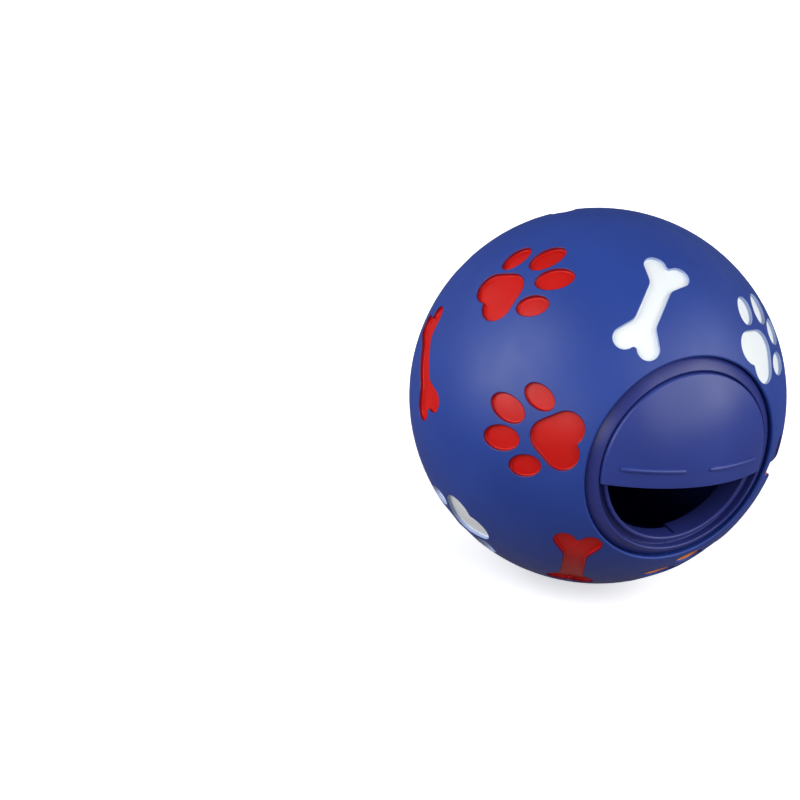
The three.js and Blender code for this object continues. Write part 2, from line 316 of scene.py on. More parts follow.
def trace(arcs):
    """Points and outward normals of a closed outline of arcs, joined by straight lines."""
    points, normals = [], []
    for i, (across, along, radius, start, stop) in enumerate(arcs):
        side = 1 if stop > start else -1
        steps = max(least_arc_steps, math.ceil(abs(stop - start) * radius / outline_pitch))
        for angle in np.linspace(start, stop, steps + 1):
            ray = np.array([math.cos(angle), math.sin(angle)])
            points.append(np.array([across, along]) + radius * ray)
            normals.append(side * ray)
        next_across, next_along, next_radius, next_start, _ = arcs[(i + 1) % len(arcs)]
        next_ray = np.array([math.cos(next_start), math.sin(next_start)])
        target = np.array([next_across, next_along]) + next_radius * next_ray
        line = target - points[-1]
        steps = math.ceil(np.linalg.norm(line) / straight_pitch - tiny)
        if steps == 0:
            points.pop()
            normals.pop()
        for k in range(1, steps):
            points.append(target - line * (1 - k / steps))
            normals.append(normals[-1])
    return np.array(points), np.array(normals)


def pad_outline():
    """The pad of a paw: its tip, two lobes and the notch between them."""
    lean = math.atan2(pad_lobe_along - pad_tip_along, pad_lobe_across)
    reach = math.hypot(pad_lobe_along - pad_tip_along, pad_lobe_across)
    touch = lean + math.acos((pad_tip_radius - pad_lobe_radius) / reach)
    drop = level_at(pad_lobe_radius + pad_notch_round, pad_lobe_across)
    notch = math.atan2(drop, pad_lobe_across)
    return trace([
        (pad_lobe_across, pad_lobe_along, pad_lobe_radius, notch - math.pi, touch),
        (0, pad_tip_along, pad_tip_radius, touch, math.pi - touch),
        (-pad_lobe_across, pad_lobe_along, pad_lobe_radius, math.pi - touch, 2 * math.pi - notch),
        (0, pad_lobe_along - drop, pad_notch_round, math.pi - notch, notch),
    ])


def toe_outline(toe, side):
    """An oval toe that leans away from the middle of the paw."""
    length = math.pi * (toe["half"] + toe["half_width"])
    angles = np.linspace(0, 2 * math.pi, math.ceil(length / outline_pitch), endpoint=False)
    rim = np.stack([toe["half_width"] * np.cos(angles), toe["half"] * np.sin(angles)], 1)
    facing = np.stack([np.cos(angles) / toe["half_width"], np.sin(angles) / toe["half"]], 1)
    facing /= np.linalg.norm(facing, axis=1)[:, None]
    lean = math.radians(-toe["lean"] * side)
    turn = np.array([[math.cos(lean), -math.sin(lean)], [math.sin(lean), math.cos(lean)]])
    centre = np.array([toe["across"] * side, toe["along"]])
    return rim @ turn.T + centre, facing @ turn.T


def bone_outline():
    """A bone along the second axis, each end forked into two round fingers."""
    quarter = math.pi / 2
    lean = math.atan2(finger_across, finger_along - fork_along)
    notch = fork_along + (finger_radius + bone_notch_round) / math.sin(lean)
    side_reach = (finger_across + finger_radius * math.cos(lean) - shaft_half_width) / math.tan(lean)
    corner = finger_along - finger_radius * math.sin(lean) - side_reach
    fork = corner - fork_round * math.tan(lean / 2)
    rise = shaft_half_width + fork_round
    end = [
        (fork, -rise, fork_round, quarter, quarter - lean),
        (finger_along, -finger_across, finger_radius, -lean - quarter, quarter - lean),
        (notch, 0, bone_notch_round, 3 * quarter - lean, quarter + lean),
        (finger_along, finger_across, finger_radius, lean - quarter, lean + quarter),
        (fork, rise, fork_round, lean - quarter, -quarter),
    ]
    other_end = [(-x, -y, radius, start + math.pi, stop + math.pi) for x, y, radius, start, stop in end]
    points, normals = trace(end + other_end)
    upright = np.array([[0, 1], [-1, 0]])
    return points @ upright, normals @ upright


def inside(points, outline):
    """Which points lie inside a closed outline."""
    x, y = points[:, 0][:, None], points[:, 1][:, None]
    x0, y0 = outline[:, 0][None], outline[:, 1][None]
    x1, y1 = np.roll(x0, -1, 1), np.roll(y0, -1, 1)
    spans = (y0 > y) != (y1 > y)
    rise = np.where(y1 == y0, 1, y1 - y0)
    left = x < x0 + (y - y0) * (x1 - x0) / rise
    return (spans & left).sum(1) % 2 == 1


def nearest(points, others):
    """Distance from each point to the nearest of the others."""
    return np.sqrt(((points[:, None] - others[None]) ** 2).sum(2)).min(1)


def triangles_of(flat, edges):
    """Triangles over flat points that keep the given edges."""
    fill_all = 0
    result = delaunay_2d_cdt([Vector(p) for p in flat], edges, [], fill_all, join_distance)
    faces, origins = result[2:4]
    corners = [origin[0] for origin in origins]
    return np.array([[corners[i] for i in face] for face in faces])


def loop_edges(loop):
    """Edges round a closed loop of point numbers."""
    return list(zip(loop.tolist(), np.roll(loop, -1).tolist()))


def doubled_area(corners):
    """Twice the area of flat triangles, above zero where their corners turn left."""
    one_side = corners[:, 1] - corners[:, 0]
    other_side = corners[:, 2] - corners[:, 0]
    return one_side[:, 0] * other_side[:, 1] - one_side[:, 1] * other_side[:, 0]


def recess_rings():
    """Rings from the lip of a recess to its floor.

    Each has its offset from the outline, its depth, and the shares of ball and wall in its normal.
    """
    rings = []
    for angle in np.linspace(0, math.pi / 2, round_steps + 1):
        rings.append((recess_lip_round * (1 - math.sin(angle)), recess_lip_round * (1 - math.cos(angle)),
                      math.cos(angle), math.sin(angle)))
    for angle in np.linspace(0, math.pi / 2, round_steps + 1):
        rings.append((-recess_floor_round * (1 - math.cos(angle)),
                      recess_depth - recess_floor_round * (1 - math.sin(angle)),
                      math.sin(angle), math.cos(angle)))
    return rings


def floor_mesh(rim):
    """Points spread inside the rim of a recess floor, and triangles over the rim and these points."""
    low, high = rim.min(0), rim.max(0)
    across = np.arange(low[0], high[0], floor_pitch)
    along = np.arange(low[1], high[1], floor_pitch)
    grid = np.stack(np.meshgrid(across, along), -1).reshape(-1, 2)
    grid = grid[inside(grid, rim)]
    grid = grid[nearest(grid, rim) > floor_pitch / 2]
    points = np.concatenate([rim, grid])
    faces = triangles_of(points, loop_edges(np.arange(len(rim))))
    turn = doubled_area(points[faces])
    keep = inside(points[faces].mean(1), rim) & (np.abs(turn) / 2 > empty_area)
    faces = np.where((turn > 0)[:, None], faces, faces[:, ::-1])
    return grid, faces[keep]


def recess(outline, facing):
    """A recess laid out flat: points with their depth and normal shares, and faces."""
    rings = recess_rings()
    count = len(outline)
    flat = np.concatenate([outline + offset * facing for offset, _, _, _ in rings])
    depth = np.concatenate([np.full(count, ring[1]) for ring in rings])
    ball_share = np.concatenate([np.full(count, ring[2]) for ring in rings])
    wall = np.concatenate([-facing * ring[3] for ring in rings])
    faces = []
    for k in range(len(rings) - 1):
        for i in range(count):
            j = (i + 1) % count
            faces.append((k * count + i, k * count + j, (k + 1) * count + j, (k + 1) * count + i))
    first = len(flat) - count
    grid, floor = floor_mesh(flat[first:])
    faces += [tuple(first + i for i in face) for face in floor]
    spare = len(grid)
    return dict(
        flat=np.concatenate([flat, grid]),
        depth=np.concatenate([depth, np.full(spare, recess_depth)]),
        ball_share=np.concatenate([ball_share, np.ones(spare)]),
        wall=np.concatenate([wall, np.zeros((spare, 2))]),
        faces=faces, count=count)


def motif_axes(beyond, clock, turn):
    """Across, main and outward directions of a motif on the ball."""
    tilt = mouth_edge + beyond / ball_radius
    around, spin = math.radians(clock), math.radians(turn)
    normal = np.array([math.sin(tilt) * math.sin(around), -math.cos(tilt), math.sin(tilt) * math.cos(around)])
    away = np.array([math.cos(tilt) * math.sin(around), math.sin(tilt), math.cos(tilt) * math.cos(around)])
    side = np.array([math.cos(around), 0, -math.sin(around)])
    main = math.cos(spin) * away + math.sin(spin) * side
    return np.stack([np.cross(main, normal), main, normal])


def on_ball(flat, depth, axes):
    """Flat points laid on the ball, each at its depth under the surface."""
    radius = ball_radius - depth
    height = np.sqrt(radius ** 2 - (flat ** 2).sum(1))
    return flat @ axes[:2] + height[:, None] * axes[2]


def recess_normals(shape, points, axes):
    """Normals of a recess on the ball, from the shares of ball and wall."""
    normals = points / np.linalg.norm(points, axis=1)[:, None] * shape["ball_share"][:, None]
    normals = normals + shape["wall"] @ axes[:2]
    return normals / np.linalg.norm(normals, axis=1)[:, None]


def all_recesses():
    """Every recess on the ball, as its flat shape, its axes and its paint."""
    toes = [recess(*toe_outline(toe, side)) for toe in (inner_toe, outer_toe) for side in (1, -1)]
    paw = [recess(*pad_outline())] + toes
    bone = [recess(*bone_outline())]
    placed = []
    for shapes, places in ((paw, paws), (bone, bones)):
        for beyond, clock, turn, paint in places:
            axes = motif_axes(beyond, clock, turn)
            placed += [(shape, axes, paint) for shape in shapes]
    return placed


# Mesh helpers

def build_mesh(name, points, faces, normals):
    """A new object from points in millimetres, smooth, with the given normals."""
    mesh = bpy.data.meshes.new(name)
    mesh.from_pydata((np.asarray(points) * MM).tolist(), [], [tuple(map(int, face)) for face in faces])
    mesh.polygons.foreach_set("use_smooth", [True] * len(mesh.polygons))
    mesh.update()
    mesh.normals_split_custom_set_from_vertices(np.asarray(normals).tolist())
    obj = bpy.data.objects.new(name, mesh)
    bpy.context.collection.objects.link(obj)
    return obj


def round_profile(corners):
    """Points and normals of an open outline of radius and level, with its inner corners rounded."""
    corners = [np.array(corner, float) for corner in corners]
    points, normals = [], []
    for before, corner, after in zip(corners, corners[1:], corners[2:]):
        back = before[:2] - corner[:2]
        ahead = after[:2] - corner[:2]
        back /= np.linalg.norm(back)
        ahead /= np.linalg.norm(ahead)
        half = math.acos(np.clip(back @ ahead, -1, 1)) / 2
        middle = (back + ahead) / np.linalg.norm(back + ahead)
        centre = corner[:2] + middle * corner[2] / math.sin(half)
        first = corner[:2] + back * corner[2] / math.tan(half) - centre
        last = corner[:2] + ahead * corner[2] / math.tan(half) - centre
        facing = np.array([-back[1], back[0]])
        side = 1 if facing @ first > 0 else -1
        start = math.atan2(first[1], first[0])
        sweep = math.remainder(math.atan2(last[1], last[0]) - start, 2 * math.pi)
        for k in range(corner_steps + 1):
            angle = start + sweep * k / corner_steps
            ray = np.array([math.cos(angle), math.sin(angle)])
            points.append(centre + corner[2] * ray)
            normals.append(side * ray)
    return points, normals


def rings_about_axis(profile, steps):
    """Points of an outline of radius and level, turned about the opening's axis."""
    angles = np.linspace(0, 2 * math.pi, steps, endpoint=False)
    rings = [[(radius * math.sin(a), -level, radius * math.cos(a)) for a in angles]
             for radius, level in profile]
    return np.array(rings).reshape(-1, 3)


# Ball skin

def mouth_profile():
    """The way from the ball's surface over the lip, into the pocket and back inside to the far pole."""
    lip_centre = pocket_radius + mouth_lip_round
    lip_centre_level = level_at(ball_radius - mouth_lip_round, lip_centre)
    lip_angle = math.atan2(lip_centre_level, lip_centre)
    points, normals = [], []
    for angle in np.linspace(lip_angle, math.pi, corner_steps + 1):
        ray = np.array([math.cos(angle), math.sin(angle)])
        points.append(np.array([lip_centre, lip_centre_level]) + mouth_lip_round * ray)
        normals.append(ray)
    back_radius = level_at(hollow_radius, ring_back_level)
    back_angle = math.atan2(back_radius, ring_back_level)
    next_angle = back_angle + math.radians(hollow_step / 2)
    next_point = (hollow_radius * math.sin(next_angle), hollow_radius * math.cos(next_angle))
    turned, turned_normals = round_profile([
        (pocket_radius, lip_centre_level),
        (pocket_radius, seat_level, moulded_round),
        (mouth_radius, seat_level, moulded_round),
        (mouth_radius, ring_back_level, moulded_round),
        (back_radius, ring_back_level, 2 * moulded_round),
        next_point,
    ])
    points += turned
    normals += turned_normals
    steps = math.ceil((math.pi - next_angle) / math.radians(hollow_step))
    for angle in np.linspace(next_angle, math.pi, steps + 1)[:-1]:
        ray = np.array([math.sin(angle), math.cos(angle)])
        points.append(hollow_radius * ray)
        normals.append(-ray)
    return np.array(points), np.array(normals)


def spread_points(count):
    """Points spread evenly over a ball, on a spiral."""
    golden_turn = math.pi * (3 - math.sqrt(5))
    k = np.arange(count) + 0.5
    height = 1 - 2 * k / count
    around = k * golden_turn
    across = np.sqrt(1 - height ** 2)
    return ball_radius * np.stack([across * np.cos(around), height, across * np.sin(around)], 1)


def skin_points(mouth_angle):
    """Points spread over the ball, up to an angle from the middle of the mouth."""
    cell = skin_pitch ** 2 * math.sqrt(3) / 2
    spread = spread_points(int(4 * math.pi * ball_radius ** 2 / cell))
    away = np.arccos(np.clip(-spread[:, 1] / ball_radius, -1, 1))
    return spread[away > mouth_angle + skin_pitch / 2 / ball_radius]


def drop_covered(spread, rim, axes):
    """Leave out the spread points that lie in a recess or close to its rim."""
    local = spread @ axes[:2].T
    reach = np.linalg.norm(rim, axis=1).max() + skin_pitch
    near = (spread @ axes[2] > 0) & (np.linalg.norm(local, axis=1) < reach)
    drop = np.zeros(len(spread), bool)
    drop[near] = inside(local[near], rim) | (nearest(local[near], rim) < skin_pitch / 2)
    return spread[~drop]


def turned_mouth(profile, profile_normals, first):
    """The mouth and the ball's inside, closed at the far pole, with points numbered from first."""
    points = rings_about_axis(profile, mouth_steps)
    normals = rings_about_axis(profile_normals, mouth_steps)
    faces = []
    for k in range(len(profile) - 1):
        ring = first + k * mouth_steps
        next_ring = ring + mouth_steps
        for i in range(mouth_steps):
            j = (i + 1) % mouth_steps
            faces.append((ring + i, next_ring + i, next_ring + j, ring + j))
    pole = first + len(points)
    last = pole - mouth_steps
    faces += [(last + i, pole, last + (i + 1) % mouth_steps) for i in range(mouth_steps)]
    points = np.concatenate([points, [[0, hollow_radius, 0]]])
    normals = np.concatenate([normals, [[0, -1, 0]]])
    return points, normals, faces


def skin_triangles(points, on_skin, edges, rims):
    """Outward triangles over the points of the ball's surface, outside the recesses.

    The surface is laid flat as seen from the middle of the mouth, so the mouth is its outer edge.
    """
    place = {int(index): k for k, index in enumerate(on_skin)}
    unit = points[on_skin] / ball_radius
    flat = np.stack([unit[:, 0] / (1 + unit[:, 1]), unit[:, 2] / (1 + unit[:, 1])], 1)
    skin = on_skin[triangles_of(flat, [(place[a], place[b]) for a, b in edges])]
    owner = np.full(len(points), -1)
    for k, (loop, _, _) in enumerate(rims):
        owner[loop] = k
    owners = owner[skin]
    one_rim = (owners[:, 0] >= 0) & (owners == owners[:, :1]).all(1)
    keep = np.ones(len(skin), bool)
    for k in np.nonzero(one_rim)[0]:
        _, axes, rim = rims[owners[k, 0]]
        centre = points[skin[k]].mean(0) @ axes[:2].T
        keep[k] = not inside(centre[None], rim)[0]
    skin = skin[keep]
    a, b, c = points[skin[:, 0]], points[skin[:, 1]], points[skin[:, 2]]
    outward = (np.cross(b - a, c - a) * a).sum(1) > 0
    return np.where(outward[:, None], skin, skin[:, ::-1])


def make_ball_skin(placed):
    """The whole vinyl ball: skin, recesses, stepped mouth and inside, in one closed mesh.

    The skin is triangulated round the rims of the recesses, because a cut made with
    booleans leaves long thin faces that show on a smooth ball.
    """
    profile, profile_normals = mouth_profile()
    spread = skin_points(math.atan2(profile[0][0], profile[0][1]))
    points, normals, faces, rims, edges = [], [], [], [], []
    total = 0
    for shape, axes, _ in placed:
        rim = shape["flat"][:shape["count"]]
        spread = drop_covered(spread, rim, axes)
        placed_points = on_ball(shape["flat"], shape["depth"], axes)
        points.append(placed_points)
        normals.append(recess_normals(shape, placed_points, axes))
        faces += [tuple(total + i for i in face) for face in shape["faces"]]
        loop = total + np.arange(shape["count"])
        rims.append((loop, axes, rim))
        edges += loop_edges(loop)
        total += len(placed_points)
    mouth_points, mouth_normals, mouth_faces = turned_mouth(profile, profile_normals, total)
    mouth_loop = total + np.arange(mouth_steps)
    edges += loop_edges(mouth_loop)
    faces += mouth_faces
    total += len(mouth_points)
    points = np.concatenate(points + [mouth_points, spread])
    normals = np.concatenate(normals + [mouth_normals, spread / ball_radius])
    rim_loops = [loop for loop, _, _ in rims]
    on_skin = np.concatenate(rim_loops + [mouth_loop, total + np.arange(len(spread))])
    faces += [tuple(face) for face in skin_triangles(points, on_skin, edges, rims)]
    return build_mesh("ball_skin", points, faces, normals)


def make_paint(name, placed, paint):
    """Closed films of paint that line the recesses of one colour, with how near they are to the lip."""
    points, normals, faces, nearness = [], [], [], []
    total = 0
    for shape, axes, colour in placed:
        if colour != paint:
            continue
        skip = film_first_ring[paint] * shape["count"]
        bare = on_ball(shape["flat"], shape["depth"], axes)
        facing = recess_normals(shape, bare, axes)
        bare, facing = bare[skip:], facing[skip:]
        count = len(bare)
        points += [bare + film_over * facing, bare - film_under * facing]
        normals += [facing, -facing]
        lining = [[i - skip for i in face] for face in shape["faces"] if min(face) >= skip]
        faces += [tuple(total + i for i in face) for face in lining]
        faces += [tuple(total + count + i for i in reversed(face)) for face in lining]
        for i in range(shape["count"]):
            j = (i + 1) % shape["count"]
            faces.append((total + i, total + count + i, total + count + j, total + j))
        near = np.clip(1 - shape["depth"][skip:] / recess_depth, 0, 1)
        nearness += [near, near]
        total += 2 * count
    obj = build_mesh(name, np.concatenate(points), faces, np.concatenate(normals))
    rim = obj.data.attributes.new("near_lip", "FLOAT", "POINT")
    rim.data.foreach_set("value", np.concatenate(nearness).astype(np.float32))
    return obj


# Insert and dial, shaped by hand

def deselect():
    bpy.ops.object.select_all(action="DESELECT")


def select_only(obj):
    deselect()
    obj.select_set(True)
    bpy.context.view_layer.objects.active = obj


def edit(obj):
    """Enter edit mode with the whole mesh selected."""
    select_only(obj)
    bpy.ops.object.mode_set(mode="EDIT")
    bpy.ops.mesh.select_all(action="SELECT")


def leave_edit():
    bpy.ops.object.mode_set(mode="OBJECT")


def clean(obj):
    """Merge points that fall together and turn the faces outwards."""
    edit(obj)
    bpy.ops.mesh.remove_doubles(threshold=weld_distance)
    bpy.ops.mesh.normals_make_consistent(inside=False)
    leave_edit()


def spun(name, outline, steps, axis=opening_axis, start=0.0, angle=2 * math.pi):
    """An outline of points in millimetres, spun about an axis through the ball's centre."""
    deselect()
    bpy.ops.mesh.primitive_circle_add(vertices=len(outline), radius=MM)
    obj = bpy.context.active_object
    obj.name = name
    obj.data.name = name
    turn = Matrix.Rotation(start, 3, Vector(axis))
    for vertex, point in zip(obj.data.vertices, outline):
        vertex.co = turn @ (Vector(point) * MM)
    edit(obj)
    whole = abs(angle) > 2 * math.pi - tiny
    if not whole:
        bpy.ops.mesh.edge_face_add()
    bpy.ops.mesh.spin(steps=steps, angle=-angle, center=(0, 0, 0), axis=axis)
    leave_edit()
    clean(obj)
    return obj


def around_opening(profile):
    """Points in the plane of X and the opening's axis, from radius and level."""
    return [(radius, -level, 0) for radius, level in profile]


def box(name, low, high):
    """A box between two corners, in millimetres."""
    deselect()
    bpy.ops.mesh.primitive_cube_add(size=1)
    obj = bpy.context.active_object
    obj.name = name
    for vertex in obj.data.vertices:
        for axis in range(3):
            vertex.co[axis] = (high[axis] if vertex.co[axis] > 0 else low[axis]) * MM
    return obj


def turn_to(clock):
    """The turn that brings an outline from where it is drawn to a clock angle."""
    return math.radians(clock - drawn_clock)


def disc(name, radius, low_level, high_level, steps):
    """A round plate about the opening's axis, between two levels."""
    profile = [(0, low_level), (radius, low_level), (radius, high_level), (0, high_level)]
    return spun(name, around_opening(profile), steps)


def combine(obj, other, operation):
    """Cut one solid out of another, or fuse the two."""
    step = obj.modifiers.new("step", "BOOLEAN")
    step.object = other
    step.operation = operation
    step.solver = "EXACT"
    select_only(obj)
    bpy.ops.object.modifier_apply(modifier=step.name)
    bpy.data.objects.remove(other)
    return obj


def keep_side(obj, height, way):
    """Cut a solid level at a height, keep what lies above (1) or below (-1), and close the cut."""
    edit(obj)
    bpy.ops.mesh.bisect(plane_co=(0, 0, height * MM), plane_no=(0, 0, way),
                        use_fill=True, clear_inner=True)
    leave_edit()


def closed_profile(corners):
    """A closed outline with each corner rounded by its own size."""
    looped = [corners[-1]] + list(corners) + [corners[0]]
    points, _ = round_profile(looped)
    return points


def cut_neck(collar, from_clock, to_clock, top):
    """Take away the neck between two clock angles, from its end up to an outline of radius and level."""
    low = neck_end_level - neck_thickness
    inner = neck_inner_radius - neck_thickness
    outer = neck_outer_radius + 2 * barb_reach
    profile = [(inner, low), (outer, low), (outer, top[0][1])] + top + [(inner, top[-1][1])]
    span = to_clock - from_clock
    steps = max(least_spin_steps, math.ceil(span / neck_cut_step))
    cutter = spun("neck_cut", around_opening(profile), steps,
                  start=turn_to(from_clock), angle=math.radians(span))
    combine(collar, cutter, "DIFFERENCE")


def make_half_moon_wall():
    """The wall behind the closed half of the opening, with the hub and its hole."""
    reach = neck_inner_radius + baffle_root
    wall = disc("half_moon_wall", reach, baffle_back_level, baffle_level, insert_steps)
    keep_side(wall, baffle_chord, 1)
    hub = disc("hub", hub_radius, baffle_back_level, baffle_level, post_steps)
    combine(wall, hub, "UNION")
    low, high = baffle_back_level - hole_clear, baffle_level + hole_clear
    hole = disc("hub_hole", hub_hole_radius, low, high, post_steps)
    return combine(wall, hole, "DIFFERENCE")


def make_insert_collar():
    """Sloping flange, channel, lip and slotted neck, with the half-moon wall and its hub."""
    collar = spun("insert_ring", around_opening(closed_profile([
        (neck_outer_radius, flange_under_level, moulded_round),
        (flange_radius, flange_under_level, moulded_round),
        (flange_radius, flange_edge_level, flange_round),
        (flange_inner_radius, flange_inner_level, flange_round),
        (flange_inner_radius, channel_level, moulded_round),
        (lip_outer_radius, channel_level, moulded_round),
        (lip_outer_radius, lip_level, lip_round),
        (neck_inner_radius, lip_level, lip_round),
        (neck_inner_radius, neck_end_level, moulded_round),
        (neck_outer_radius - barb_reach / 2, neck_end_level, moulded_round),
        (neck_outer_radius + barb_reach, barb_level - barb_land, moulded_round),
        (neck_outer_radius + barb_reach, barb_level, moulded_round / 2),
        (neck_outer_radius, barb_level, moulded_round),
    ])), insert_steps)
    half_slot = math.degrees(slot_width / 2 / neck_inner_radius)
    short_top = [(neck_outer_radius, short_finger_level)]
    slot_top = [(neck_outer_radius, flange_under_level), (neck_outer_radius, slot_level)]
    for pair in range(finger_pairs):
        start = finger_start + pair * 360 / finger_pairs
        stop = start + finger_span
        cut_neck(collar, start, stop, short_top)
        for edge in (start, stop):
            cut_neck(collar, edge - half_slot, edge + half_slot, slot_top)
    combine(collar, make_half_moon_wall(), "UNION")
    combine(collar, make_stop_mark(), "UNION")
    clean(collar)
    return collar


def make_stop_mark():
    """A fine ridge across the channel that the dial's skirt turns over."""
    low, high = channel_level - moulded_round, channel_level + stop_mark_height
    inner, outer = lip_outer_radius - moulded_round, flange_inner_radius + moulded_round
    profile = around_opening([(inner, low), (outer, low), (outer, high), (inner, high)])
    span = stop_mark_width / flange_inner_radius
    start = turn_to(stop_mark_clock) - span / 2
    return spun("stop_mark", profile, least_spin_steps, start=start, angle=span)


def dome_arc(radius, start, stop):
    """Points of a dome's outline between two angles from its top."""
    steps = math.ceil(abs(math.degrees(stop - start)) / dome_step)
    return [(radius * math.sin(a), radius * math.cos(a)) for a in np.linspace(start, stop, steps + 1)]


def make_dome():
    """The whole dome with its skirt, before it is cut."""
    rim_level = level_at(dome_radius, dial_radius)
    outer = dome_arc(dome_radius, 0, math.asin((dial_radius - dial_round) / dome_radius))
    rim, _ = round_profile([
        outer[-1],
        (dial_radius, rim_level, dial_round),
        (dial_radius, skirt_level, moulded_round),
        (skirt_inner_radius, skirt_level, moulded_round),
        (skirt_inner_radius, rim_level),
    ])
    inner = dome_arc(dome_inner_radius, math.asin(skirt_inner_radius / dome_inner_radius), 0)
    return spun("dial_cap", around_opening(outer + rim + inner), insert_steps)


def make_cut_wall():
    """A slab under the dome, on both sides of the place where the dome is cut."""
    reach = neck_inner_radius - turn_gap
    low = baffle_level + turn_gap
    top = dome_arc(dome_middle_radius, math.asin(reach / dome_middle_radius), 0)
    wall = spun("cut_wall", around_opening([(0, low), (reach, low)] + top), insert_steps)
    keep_side(wall, dial_cut - cut_wall_thickness, 1)
    keep_side(wall, dial_cut + cut_wall_thickness, -1)
    return wall


def make_edge_cutter():
    """What is taken off to round the edge where the cut meets the dome, spun about the upright axis."""
    slant = math.radians(cut_slant)
    reach = math.sqrt(dome_radius ** 2 + cut_round ** 2 - 2 * dome_radius * cut_round * math.cos(slant))
    height = dial_cut + cut_round * math.cos(slant)
    across = math.sqrt(reach ** 2 - height ** 2)
    outline = []
    for angle in np.linspace(0, math.atan2(across, -height), cut_steps + 1):
        outline.append((0, -across - cut_round * math.sin(angle), height - cut_round * math.cos(angle)))
    far = across + cut_clear
    low = dial_cut - cut_clear
    outline += [(0, -far, outline[-1][2]), (0, -far, low), (0, -across, low)]
    half_turn = math.asin(flange_inner_radius / dome_radius)
    return spun("edge_cutter", outline, cut_edge_steps, axis=upright_axis,
                start=-half_turn, angle=2 * half_turn)


def make_post():
    """Split post that snaps behind the hub."""
    post = spun("post", around_opening([
        (0, dome_middle_radius),
        (post_radius, dome_middle_radius),
        (post_radius, post_barb_level),
        (post_radius + post_barb_reach, post_barb_level),
        (post_radius - post_barb_reach, post_end_level),
        (0, post_end_level),
    ]), post_steps)
    half = post_slot_width / 2
    top = post_end_level + post_slot_length
    slot = box("post_slot", (-half, -top, -hub_radius), (half, -post_end_level + half, hub_radius))
    return combine(post, slot, "DIFFERENCE")


def draw_down(rib, angle):
    """Shrink the end of a rib at an angle about the upright axis, towards its foot on the dome."""
    foot = Vector((math.sin(angle), -math.cos(angle), 0)) * dome_radius * MM
    foot.z = rib_rise * MM
    edit(rib)
    bpy.ops.mesh.select_all(action="DESELECT")
    mesh = bmesh.from_edit_mesh(rib.data)
    for vertex in mesh.verts:
        vertex.select = abs(math.atan2(vertex.co.x, -vertex.co.y) - angle) < same_angle
    mesh.select_flush_mode()
    bmesh.update_edit_mesh(rib.data)
    bpy.ops.transform.resize(value=(rib_end_size, rib_end_size, rib_end_size), center_override=foot)
    leave_edit()


def make_rib(side):
    """Grip rib with a round back that follows the dome, its ends drawn down."""
    half = rib_width / 2
    outline = [(0, -dome_middle_radius, rib_rise - half), (0, -dome_middle_radius, rib_rise + half)]
    for angle in np.linspace(0, math.pi, rib_round_steps + 1):
        back = dome_radius + rib_height * math.sin(angle)
        outline.append((0, -back, rib_rise + half * math.cos(angle)))
    start = math.asin(rib_start / dome_radius)
    stop = math.asin(rib_end / dome_radius)
    if side < 0:
        start, stop = -stop, -start
    rib = spun("rib", outline, rib_steps, axis=upright_axis, start=start, angle=stop - start)
    for angle in (start, stop):
        draw_down(rib, angle)
    return rib


def smooth(obj, sphere_radius=None):
    """Smooth faces between sharp edges, with true normals on a sphere about the ball's centre."""
    select_only(obj)
    bpy.ops.object.shade_smooth_by_angle(angle=math.radians(sharp_angle))
    if sphere_radius is None:
        return
    mesh = obj.data
    normals = [corner.vector.copy() for corner in mesh.corner_normals]
    for face in mesh.polygons:
        places = [mesh.vertices[i].co for i in face.vertices]
        if all(abs(place.length - sphere_radius * MM) < sphere_distance for place in places):
            for loop, place in zip(face.loop_indices, places):
                normals[loop] = place.normalized()
    mesh.normals_split_custom_set(normals)


def make_shutter_dial():
    """Half dome with a skirt, a wall along its cut, a split post, two grip ribs and the gate mark."""
    dial = make_dome()
    combine(dial, make_cut_wall(), "UNION")
    keep_side(dial, dial_cut, 1)
    combine(dial, make_edge_cutter(), "DIFFERENCE")
    combine(dial, make_post(), "UNION")
    for side in (1, -1):
        combine(dial, make_rib(side), "UNION")
    gate = disc("gate_mark", gate_radius, dome_middle_radius, dome_radius + gate_height, post_steps)
    combine(dial, gate, "UNION")
    clean(dial)
    return dial


# Finishes

def shader(name):
    """A new material with its nodes, links and main shader."""
    material = bpy.data.materials.new(name)
    material.use_nodes = True
    nodes = material.node_tree.nodes
    return material, nodes, material.node_tree.links, nodes["Principled BSDF"]


def coordinates(nodes):
    return nodes.new("ShaderNodeTexCoord").outputs["Object"]


def noise(nodes, links, where, scale, detail):
    node = nodes.new("ShaderNodeTexNoise")
    node.inputs["Scale"].default_value = scale
    node.inputs["Detail"].default_value = detail
    links.new(where, node.inputs["Vector"])
    return node.outputs["Fac"]


def ramp(nodes, links, value, stops):
    node = nodes.new("ShaderNodeValToRGB")
    elements = node.color_ramp.elements
    while len(elements) < len(stops):
        elements.new(0.5)
    for element, (position, colour) in zip(elements, stops):
        element.position = position
        element.color = (*colour, 1)
    links.new(value, node.inputs["Fac"])
    return node.outputs["Color"]


def spread_value(nodes, links, value, low, high):
    """A noise value spread between two limits."""
    node = nodes.new("ShaderNodeMapRange")
    node.inputs["From Min"].default_value = noise_low
    node.inputs["From Max"].default_value = noise_high
    node.inputs["To Min"].default_value = low
    node.inputs["To Max"].default_value = high
    links.new(value, node.inputs["Value"])
    return node.outputs["Result"]


def grain_bump(nodes, links, where, scale, strength, principled):
    """A fine grain on the skin of a finish."""
    node = nodes.new("ShaderNodeBump")
    node.inputs["Strength"].default_value = strength
    node.inputs["Distance"].default_value = grain_depth
    links.new(noise(nodes, links, where, scale, grain_detail), node.inputs["Height"])
    links.new(node.outputs["Normal"], principled.inputs["Normal"])


